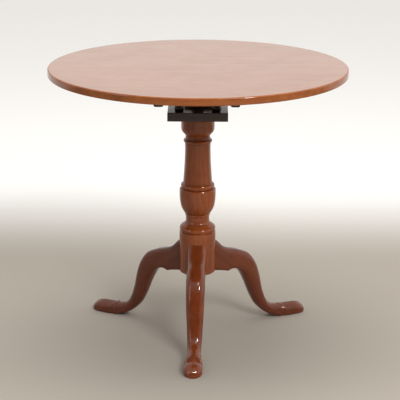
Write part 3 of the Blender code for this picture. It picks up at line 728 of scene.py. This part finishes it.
def carve_foot(point, normal):
    """A ridge that runs in a V across the instep with a furrow behind it, and a soft keel out to the toe."""
    if point.x < CARVING_START or normal.z < 0.1:
        return point
    past_ridge = point.x - INSTEP - RIDGE_SLOPE * abs(point.y)
    ridge = RIDGE_HEIGHT * math.exp(-(past_ridge / RIDGE_WIDTH) ** 2)
    furrow = FURROW_DEPTH * math.exp(-((past_ridge + FURROW_SHIFT) / RIDGE_WIDTH) ** 2)
    along = min(1.0, max(0.0, (point.x - INSTEP) / KEEL_LEAD))
    keel = KEEL_HEIGHT * along * math.exp(-(point.y / KEEL_HALF_WIDTH) ** 2)
    return point + normal * (ridge - furrow + keel) * min(1.0, normal.z * 2)


def section_wear(ring):
    """Patina round one section of the leg: the arrises are rubbed."""
    centre = sum(ring, Vector()) / len(ring)
    rise = max((p - centre for p in ring), key=lambda v: v.z)
    axis = Vector((rise.x, 0, rise.z)).normalized()
    flat = [((p - centre).y, (p - centre).dot(axis)) for p in ring]
    values = []
    least, most = 60.0, 300.0
    for k in range(len(flat)):
        turning = abs(bend(flat[k - 3], flat[k], flat[(k + 3) % len(flat)]))
        values.append(min(1.0, max(0.0, (turning - least) / (most - least))))
    return values


def make_leg(side, turn, polished, housing, holes):
    """The carved leg, which fits round the pillar, and its tongue."""
    rings = start_at_pillar(leg_sections())
    bm = bmesh.new()
    add_rings(bm, rings, [section_wear(ring) for ring in rings])
    bm.normal_update()
    bmesh.ops.recalc_face_normals(bm, faces=bm.faces)
    bm.normal_update()
    moved = [(v, carve_foot(v.co, v.normal)) for v in bm.verts]
    for v, place in moved:
        v.co = place
    leg = to_object(f"leg_{side}_carved", bm, (polished,), 50.0)
    leg.rotation_euler.z = turn
    cut(leg, [housing, holes], sharp=50.0)
    finish_piece(leg, "stand", "stand_mahogany", f"leg_{side}")
    tongue = dovetail(f"leg_{side}_tongue", 0.0, BASE_BOTTOM, turn)
    tongue.data.materials.append(polished)
    finish_piece(tongue, "stand", "stand_mahogany")


def strap_body(name, ease, bottom, top, materials=()):
    """Three arms with round ends on a hub: the strap, or with some ease the housing that it lies in."""
    half, hub = STRAP_HALF_WIDTH + ease, STRAP_HUB_RADIUS + ease
    root = hub * math.cos(math.radians(35))
    outline = []
    for turn in sorted(LEG_TURNS.values()):
        outward = Matrix.Rotation(turn, 3, "Z")
        outline.append(outward @ Vector((root, -half, 0)))
        for x, y in arc(STRAP_REACH - STRAP_HALF_WIDTH, 0.0, half, -90, 90, 12):
            outline.append(outward @ Vector((x, y, 0)))
        outline.append(outward @ Vector((root, half, 0)))
        for spread in (40, 50, 60, 70, 80):
            outline.append(Matrix.Rotation(turn + math.radians(spread), 3, "Z") @ Vector((hub, 0, 0)))
    return skinned(name, [[Vector((p.x, p.y, z)) for p in outline] for z in (bottom, top)], materials)


# ------------------------ screws

def screw_profile(size, ease=0.0, lead=0.0):
    """A countersunk screw, its head's face at z = 0 and its shank upwards; ease and lead make its hole."""
    head, head_height, shank, length = size
    return [
        (head + ease, -lead),
        (head + ease, 0.0003),
        (shank + ease, head_height),
        (shank + ease, length - 0.003 + ease),
        (0.0004 + ease, length + ease),
    ]


def make_screws(name, size, places, body, slot, mat):
    """Slotted screws at the given places, and one tool that cuts the holes for all of them."""
    holes = bmesh.new()
    head, head_height = size[:2]
    for k, place in enumerate(places):
        turn = Matrix.Rotation(math.radians(37 * k + 20), 4, "Z")
        label = f"{name}_{k + 1}"
        dome = [(head * 0.35, 0.00002), (head - 0.0002, 0.00008)]
        screw = turned(f"{label}_slotted", dome + screw_profile(size)[1:], SCREW_SIDES, (mat,), place @ turn)
        depth, half = head_height * 0.45, max(0.0003, head * 0.1)
        corners = [(-2 * head, -half), (2 * head, -half), (2 * head, half), (-2 * head, half)]
        slot_rings = [[place @ turn @ Vector((x, y, z)) for x, y in corners] for z in (-0.001, depth)]
        cut(screw, [skinned("slot", slot_rings)])
        finish_piece(screw, body, slot, label)
        add_rings(holes, turned_rings(screw_profile(size, GAP, SCREW_LEAD), SCREW_SIDES, place @ turn))
    return to_object(f"holes_{name}", holes)


def copy_of(obj):
    made = obj.copy()
    made.data = obj.data.copy()
    bpy.context.collection.objects.link(made)
    return made


def from_below(x, y, z):
    """A screw driven upwards."""
    return Matrix.Translation((x, y, z))


def from_above(x, y, z):
    """A screw driven downwards."""
    return Matrix.Translation((x, y, z)) @ Matrix.Rotation(math.pi, 4, "X")


# ------------------------ the cage

def make_wedge(mat):
    half, rings = WEDGE_WIDTH / 2, []
    for x, height in WEDGE_ENDS:
        low, high = WEDGE_BOTTOM, WEDGE_BOTTOM + height
        rings.append([Vector((x, y, z)) for y, z in ((-half, low), (half, low), (half, high), (-half, high))])
    bm = bmesh.new()
    add_rings(bm, rings)
    bmesh.ops.bevel(bm, geom=bm.edges, offset=0.0008, segments=3, profile=0.5, affect="EDGES")
    wedge = to_object("wedge_whittled", bm, (mat,), 60.0)
    flat_shading(wedge)
    finish_piece(wedge, "wedge", "pale_wood", "wedge")


def make_balusters(mat):
    length = UPPER_PLATE_BOTTOM - LOWER_PLATE_TOP - 2 * GAP
    body = along_curve(
        [(0.0105, 0.0), (0.0117, 0.003), (0.0124, 0.0075), (0.0107, 0.0130), (0.0076, 0.0175),
         (0.0071, 0.0260), (0.0086, 0.0380), (0.0104, 0.0465), (0.0074, 0.0520), (0.0104, 0.0570),
         (0.0104, length)], 6
    )
    tenons = [(TENON_RADIUS, height) for height in (-TENON_LENGTH, 0.0, length, length + TENON_LENGTH)]
    profile = [*tenons[:2], *body, *tenons[2:]]
    wear = [-value for value in wear_along(profile)]  # this profile runs upwards
    offsets = (-BALUSTER_OFFSET, BALUSTER_OFFSET)
    for k, (x, y) in enumerate((x, y) for y in offsets for x in offsets):
        place = Matrix.Translation((x, y, LOWER_PLATE_TOP + GAP))
        rings = turned_rings(profile, SMALL_SIDES, place)
        baluster = skinned(f"cage_baluster_{k + 1}_turned", rings, (mat,), 40.0, wear)
        finish_piece(baluster, "cage", "cage_mahogany", f"cage_baluster_{k + 1}")


def make_lower_plate(mat, waxed):
    """Polished all round, and more thickly waxed on its upper face."""
    low, high = (-PLATE_HALF, -PLATE_HALF, LOWER_PLATE_BOTTOM), (PLATE_HALF, PLATE_HALF, LOWER_PLATE_TOP)
    plate = slab("cage_lower_plate_planed", low, high, (mat, waxed), 0.0012)
    hole = [(SPIGOT_RADIUS + BORE_ROOM, z) for z in (low[2] - OVERCUT, high[2] + OVERCUT)]
    cut(plate, [turned("hole_spigot", hole, SMALL_SIDES)], sharp=60.0)
    flat_shading(plate)
    for face in plate.data.polygons:
        face.material_index = 1 if face.normal.z > 0.95 else 0
    finish_piece(plate, "cage", "cage_mahogany", "cage_lower_plate")


def make_upper_plate(mat, keeper_holes):
    """The plate's back edge is round about the pintles' axis, so the top can swing past it."""
    radius = PLATE_THICKNESS / 2
    edge = arc(PIVOT_Y, PIVOT_Z, radius, -90, 90, 24)
    outline = [(-PLATE_HALF, UPPER_PLATE_BOTTOM), *edge, (-PLATE_HALF, UPPER_PLATE_TOP)]
    plate = extruded("cage_upper_plate_planed", outline, PLATE_HALF, (mat,), 0.0010)
    socket = [(TIP_RADIUS + BORE_ROOM, z) for z in (UPPER_PLATE_BOTTOM - OVERCUT, TIP_TOP + 0.001)]
    recess_low = (-KEEPER_HALF - GAP, -PLATE_HALF - OVERCUT, KEEPER_TOP - KEEPER_THICKNESS - GAP)
    recess_high = (KEEPER_HALF + GAP, KEEPER_BACK + GAP, UPPER_PLATE_TOP + OVERCUT)
    pocket_low = (-POCKET_HALF, -PLATE_HALF - OVERCUT, BOLT_BOTTOM - 0.0014)
    pocket_high = (POCKET_HALF, POCKET_BACK, UPPER_PLATE_TOP - 0.001)
    cut(plate, [
        turned("socket_tip", socket, SMALL_SIDES),
        slab("recess_keeper", recess_low, recess_high),
        slab("pocket_bolt", pocket_low, pocket_high),
        keeper_holes,
    ])
    flat_shading(plate)
    finish_piece(plate, "cage", "cage_mahogany", "cage_upper_plate")
    across = Matrix.Translation((0, PIVOT_Y, PIVOT_Z)) @ Matrix.Rotation(math.pi / 2, 4, "Y")
    for side, sign in (("left", -1), ("right", 1)):
        start, end = sign * (PLATE_HALF - 0.006), sign * PINTLE_END
        profile = [(PINTLE_RADIUS, start), (PINTLE_RADIUS, end - sign * 0.001)]
        profile += [(PINTLE_RADIUS - 0.0003, end - sign * 0.0003), (PINTLE_RADIUS - 0.001, end)]
        pintle = turned(f"pintle_{side}", profile, SMALL_SIDES, (mat,), across)
        finish_piece(pintle, "cage", "cage_mahogany")


def make_keeper(mat, holes):
    low = (-KEEPER_HALF, KEEPER_FRONT, KEEPER_TOP - KEEPER_THICKNESS)
    high = (KEEPER_HALF, KEEPER_BACK, KEEPER_TOP)
    keeper = slab("keeper_filed", low, high, (mat,), 0.0003, 2)
    cut(keeper, [holes])
    flat_shading(keeper)
    finish_piece(keeper, "cage", "brass", "keeper")


# ------------------------ the top

def make_tabletop(polished, rim_wood, raw):
    """One round board: polished above and round its rim, bare below."""
    inner = TOP_RADIUS - ARRIS
    face = [(radius, TABLE_HEIGHT) for radius in (0.06, 0.12, 0.18, 0.24, 0.30, 0.345, 0.366, inner)]
    rim = arc(inner, TABLE_HEIGHT - ARRIS, ARRIS, 90, 0, 10)
    rim += arc(inner, UNDERSIDE + ARRIS, ARRIS, 0, -90, 10)
    below = [(radius, UNDERSIDE) for radius in (inner, 0.366, 0.1)]
    bm = bmesh.new()
    upper = add_rings(bm, turned_rings(face, TOP_SIDES), None, 0, ends=False)
    bm.faces.new(upper[0]).material_index = 0
    add_rings(bm, turned_rings(rim, TOP_SIDES), wear_along(rim, 700.0), 1, ends=False)
    under = add_rings(bm, turned_rings(below, TOP_SIDES), None, 2, ends=False)
    bm.faces.new(under[-1]).material_index = 2
    bmesh.ops.remove_doubles(bm, verts=bm.verts, dist=1e-6)
    top = to_object("tabletop_board", bm, (polished, rim_wood, raw), 50.0)
    finish_piece(top, "top", "top_mahogany", "tabletop")


def bearer_depth(y):
    """Full depth in the middle, and a smooth taper to each end."""
    t = min(1.0, (BEARER_HALF_LENGTH - abs(y)) / BEARER_TAPER)
    return BEARER_END_DEPTH + (BEARER_DEPTH - BEARER_END_DEPTH) * t * t * (3 - 2 * t)


def make_bearer(side, x, mat, screw_holes):
    """A batten with rounded lower edges, and a round hole for a pintle."""
    top, half, edge = UNDERSIDE - GAP, BEARER_WIDTH / 2, 0.005
    taper = [BEARER_HALF_LENGTH - BEARER_TAPER * k / 16 for k in range(17)]
    stations = [-s for s in taper] + [-0.20, -0.10, 0.0, 0.10, 0.20] + taper[::-1]
    rings = []
    for y in stations:
        bottom = top - bearer_depth(y)
        ring = [Vector((x - half, y, top))]
        for centre, first in ((x - half + edge, 180), (x + half - edge, 270)):
            corner = arc(centre, bottom + edge, edge, first, first + 90, 8)
            ring += [Vector((across, y, height)) for across, height in corner]
        ring.append(Vector((x + half, y, top)))
        rings.append(ring)
    bearer = skinned(f"bearer_{side}_planed", rings, (mat,), 40.0)
    across = Matrix.Translation((0, PIVOT_Y, PIVOT_Z)) @ Matrix.Rotation(math.pi / 2, 4, "Y")
    inner, end = abs(x) - half - 0.005, PINTLE_END + 0.001
    if x < 0:
        inner, end = -end, -inner
    hole = [(PINTLE_RADIUS + GAP, inner), (PINTLE_RADIUS + GAP, end)]
    cut(bearer, [turned(f"hole_pintle_{side}", hole, SMALL_SIDES, place=across), screw_holes], sharp=40.0)
    finish_piece(bearer, "top", "bearer_wood", f"bearer_{side}")


# ------------------------ the catch

def make_catch_case(mat, screw_holes):
    """A brass box, open above, with an ear on each side and a slot for the knob."""
    low, high = (-CASE_HALF, CASE_FRONT, CASE_BOTTOM), (CASE_HALF, CASE_BACK, CASE_TOP)
    case = slab("catch_case_cast", low, high, (mat,), 0.0006)
    low, high = (-EAR_HALF, EAR_FRONT, CASE_TOP - EAR_THICKNESS), (EAR_HALF, EAR_BACK, CASE_TOP)
    cut(case, [slab("ears", low, high, (), 0.0005)], "UNION")
    half = CASE_HALF - CASE_WALL
    low = (-half, CASE_FRONT + CASE_WALL, CASE_BOTTOM + CASE_WALL)
    cavity = slab("cavity", low, (half, CASE_BACK - CASE_WALL, CASE_TOP + OVERCUT))
    half = BOLT_HALF + GAP
    low = (-half, CASE_BACK - 2 * CASE_WALL, BOLT_BOTTOM - GAP)
    mouth = slab("mouth", low, (half, CASE_BACK + OVERCUT, BOLT_TOP + GAP))
    half = STEM_RADIUS + GAP
    low = (-half, KNOB_Y - BOLT_TRAVEL - half, CASE_BOTTOM - OVERCUT)
    slot = slab("slot", low, (half, KNOB_Y + half, CASE_BOTTOM + 2 * CASE_WALL))
    cut(case, [cavity, mouth, slot, screw_holes])
    flat_shading(case)
    finish_piece(case, "top", "brass", "catch_case")


def make_catch_bolt(mat):
    """A flat bolt with a bevel under its nose, and a round knob that hangs below the case."""
    outline = [
        (BOLT_TAIL, BOLT_BOTTOM),
        (BOLT_NOSE - 0.004, BOLT_BOTTOM),
        (BOLT_NOSE, BOLT_BOTTOM + 0.0032),
        (BOLT_NOSE, BOLT_TOP),
        (BOLT_TAIL, BOLT_TOP),
    ]
    bolt = extruded("catch_bolt_filed", outline, BOLT_HALF, (mat,), 0.0004)
    flat_shading(bolt)
    finish_piece(bolt, "catch_bolt", "brass", "catch_bolt")
    neck = CASE_BOTTOM - 0.002
    profile = [
        (STEM_RADIUS, BOLT_BOTTOM + 0.001),
        (STEM_RADIUS, neck + 0.0006),
        (STEM_RADIUS + 0.0006, neck + 0.0002),
        (STEM_RADIUS + 0.0007, neck),
    ]
    for k in range(4, 24):
        angle = math.pi * k / 24
        profile.append((KNOB_RADIUS * math.sin(angle), neck - KNOB_RADIUS * (1 - math.cos(angle))))
    knob = turned("catch_knob", profile, SMALL_SIDES, (mat,), Matrix.Translation((0, KNOB_Y, 0)))
    finish_piece(knob, "catch_bolt", "brass")


def make_catch_spring(mat):
    """A coil spring from the bolt's tail to the case's front wall."""
    start, end = BOLT_TAIL - 0.0004, CASE_FRONT + CASE_WALL + 0.0004
    middle = (BOLT_BOTTOM + BOLT_TOP) / 2
    per_turn, sides = 28, 10
    rings = []
    for k in range(SPRING_TURNS * per_turn + 1):
        angle = 2 * math.pi * k / per_turn
        y = start + (end - start) * k / (SPRING_TURNS * per_turn)
        radial = Vector((math.cos(angle), 0, math.sin(angle)))
        centre = Vector((0, y, middle)) + radial * SPRING_RADIUS
        rings.append([
            centre + SPRING_WIRE * (radial * math.cos(b) + Vector((0, 1, 0)) * math.sin(b))
            for b in (2 * math.pi * i / sides for i in range(sides))
        ])
    spring = skinned("catch_spring_wound", rings, (mat,))
    finish_piece(spring, "top", "steel", "catch_spring")
    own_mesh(spring)


# ------------------------ the whole table

def build_table():
    leg_wood = {
        side: mahogany(f"mahogany_leg_{side}", GRAIN_DOWN_LEG, LEG_SHADED_TONES[side], shift, figure=0.5)
        for side, shift in (("front", (0.3, 0.1, 0.2)), ("right", (1.3, 0.7, 0.4)), ("left", (2.6, 0.2, 1.1)))
    }
    pillar_wood = mahogany("mahogany_pillar", GRAIN_Z, PILLAR_TONES, (0.4, 0.9, 0.0), figure=0.7)
    top_wood = mahogany("mahogany_top", GRAIN_X, TOP_TONES, (0.0, 0.2, 0.5), gloss=0.3, coat=0.10, figure=0.4)
    rim_wood = mahogany("mahogany_rim", GRAIN_X, RIM_TONES, (0.0, 0.2, 0.5), figure=0.6)
    raw = raw_wood("mahogany_bare", GRAIN_X, RAW_TONES)
    raw_spigot = raw_wood("mahogany_bare_spigot", GRAIN_Z, RAW_TONES)
    look = (GRAIN_X, CAGE_TONES, (0.7, 0.0, 0.2))
    edges = (PLATE_HALF, LOWER_PLATE_BOTTOM, LOWER_PLATE_TOP, 0.0030)
    lower = mahogany("mahogany_lower_plate", *look, edges=edges)
    waxed = mahogany("mahogany_lower_plate_face", *look, gloss=0.22, coat=0.24, edges=edges)
    edges = (PLATE_HALF, UPPER_PLATE_BOTTOM, UPPER_PLATE_TOP, 0.0025)
    upper = mahogany("mahogany_upper_plate", GRAIN_X, CAGE_TONES, (0.1, 0.6, 0.0), edges=edges)
    baluster_wood = mahogany("mahogany_baluster", GRAIN_Z, CAGE_TONES, (0.5, 0.3, 0.0))
    bearer_wood = mahogany("mahogany_bearer", GRAIN_Y, BEARER_TONES, gloss=0.40)
    pale = raw_wood("pale_beech", GRAIN_X, PALE_TONES)
    brass = metal("old_brass", (0.62, 0.42, 0.16), (0.30, 0.19, 0.08), 0.24)
    iron = metal("old_iron", (0.14, 0.125, 0.115), (0.060, 0.045, 0.038), 0.46)
    steel = metal("old_steel", (0.36, 0.35, 0.33), (0.17, 0.14, 0.12), 0.32)

    strap_top = BASE_BOTTOM - GAP
    strap_places = [
        from_below(out * math.cos(turn), out * math.sin(turn), strap_top - STRAP_THICKNESS)
        for turn in LEG_TURNS.values() for out in STRAP_SCREWS
    ]
    strap_holes = make_screws("strap_screw", STRAP_SCREW, strap_places, "stand", "steel", steel)
    make_pillar(pillar_wood, raw_spigot)
    for side, turn in LEG_TURNS.items():
        housing = strap_body("housing", GAP, strap_top - STRAP_THICKNESS - SCREW_LEAD, strap_top + GAP)
        make_leg(side, turn, leg_wood[side], housing, copy_of(strap_holes))
    strap = strap_body("spider_strap_forged", 0.0, strap_top - STRAP_THICKNESS, strap_top, (iron,))
    cut(strap, [strap_holes])
    finish_piece(strap, "stand", "iron", "spider_strap")

    make_wedge(pale)
    make_lower_plate(lower, waxed)
    keeper_places = [from_above(x, KEEPER_SCREW_Y, KEEPER_TOP) for x in KEEPER_SCREWS]
    keeper_holes = make_screws("keeper_screw", KEEPER_SCREW, keeper_places, "cage", "brass", brass)
    make_upper_plate(upper, copy_of(keeper_holes))
    make_keeper(brass, keeper_holes)
    make_balusters(baluster_wood)

    make_tabletop(top_wood, rim_wood, raw)
    for side, sign in (("left", -1), ("right", 1)):
        x, z = sign * BEARER_OFFSET, UNDERSIDE - GAP - BEARER_DEPTH
        places = [from_below(x, y, z) for y in BEARER_SCREW_STEPS]
        holes = make_screws(f"bearer_screw_{side}", BEARER_SCREW, places, "top", "steel", steel)
        make_bearer(side, x, bearer_wood, holes)
    ears = CASE_TOP - EAR_THICKNESS
    catch_places = [from_below(x, y, ears) for y in CATCH_SCREW_ROWS for x in CATCH_SCREW_COLUMNS]
    make_catch_case(brass, make_screws("catch_screw", CATCH_SCREW, catch_places, "top", "brass", brass))
    make_catch_bolt(brass)
    make_catch_spring(steel)


# ------------------------ the room

def make_floor():
    half = 12.0
    bm = bmesh.new()
    bmesh.ops.create_grid(bm, x_segments=1, y_segments=1, size=half)
    floor = to_object("floor", bm, (pale_floor(),))


def area_light(name, place, aim_height, size, power, lights=True, mirrored=True):
    """A soft light, aimed at the pillar's axis, which lights things or is mirrored in the polish."""
    data = bpy.data.lights.new(name, "AREA")
    data.shape = "RECTANGLE"
    data.size, data.size_y = size
    data.energy = power
    light = bpy.data.objects.new(name, data)
    light.location = place
    light.rotation_euler = (Vector((0, 0, aim_height)) - Vector(place)).to_track_quat("-Z", "Y").to_euler()
    light.visible_diffuse = lights
    light.visible_glossy = mirrored
    bpy.context.collection.objects.link(light)


def make_lights():
    """Two soft lights for the shading, and three that show only in the polish."""
    area_light("key", (1.4, -2.7, 2.5), 0.35, (1.2, 1.2), 62.0, mirrored=False)
    area_light("overhead", (0.0, 0.4, 3.2), 0.5, (2.2, 2.2), 45.0, mirrored=False)
    area_light("window", (1.62, -2.00, 2.10), 0.30, (0.36, 0.44), 55.0, lights=False)
    area_light("skylight", (0.9, -1.8, 3.0), 0.30, (0.6, 0.6), 10.0, lights=False)
    area_light("left_strip", (-2.2, -1.5, 1.3), 0.40, (0.60, 1.8), 7.0, lights=False)


def make_world():
    """The room that the polish mirrors: a pale ceiling, walls paler to the right, and dark in front."""
    world = bpy.data.worlds.new("studio")
    bpy.context.scene.world = world
    g = Graph(world)
    x, y, z = g.add("SeparateXYZ", {0: g.add("TexCoord").outputs["Generated"]}).outputs
    walls = g.mix(g.spread(x, -0.9, 0.9), (0.60, 0.59, 0.58), (1.00, 0.97, 0.93))
    walls = g.mix(g.spread(y, -0.80, -0.10, 1.0, 0.0), walls, (0.085, 0.075, 0.070))
    walls = g.mix(g.spread(y, 0.30, 0.90), walls, (0.84, 0.82, 0.79))
    light = g.mix(g.spread(z, 0.35, 0.85), walls, (0.78, 0.77, 0.75))
    g.finish("Background", Color=light)


def make_camera():
    """The photograph's view: a long lens a little above the table, looking slightly down."""
    distance, height = 3.664, 1.4357
    azimuth, pitch, roll = math.radians(0.46), 0.286, 0.0035
    data = bpy.data.cameras.new("camera")
    data.sensor_width = 36.0
    data.lens = 132.9
    data.shift_x = 0.0059
    camera = bpy.data.objects.new("camera", data)
    place = Matrix.Translation((distance * math.sin(azimuth), -distance * math.cos(azimuth), height))
    tilt = Matrix.Rotation(math.pi / 2 - pitch, 4, "X")
    aim = Matrix.Rotation(azimuth, 4, "Z") @ tilt @ Matrix.Rotation(roll, 4, "Z")
    camera.matrix_world = place @ aim
    bpy.context.collection.objects.link(camera)
    bpy.context.scene.camera = camera


build_table()
make_floor()
make_world()
make_lights()
make_camera()
bpy.context.scene.view_settings.view_transform = "Standard"
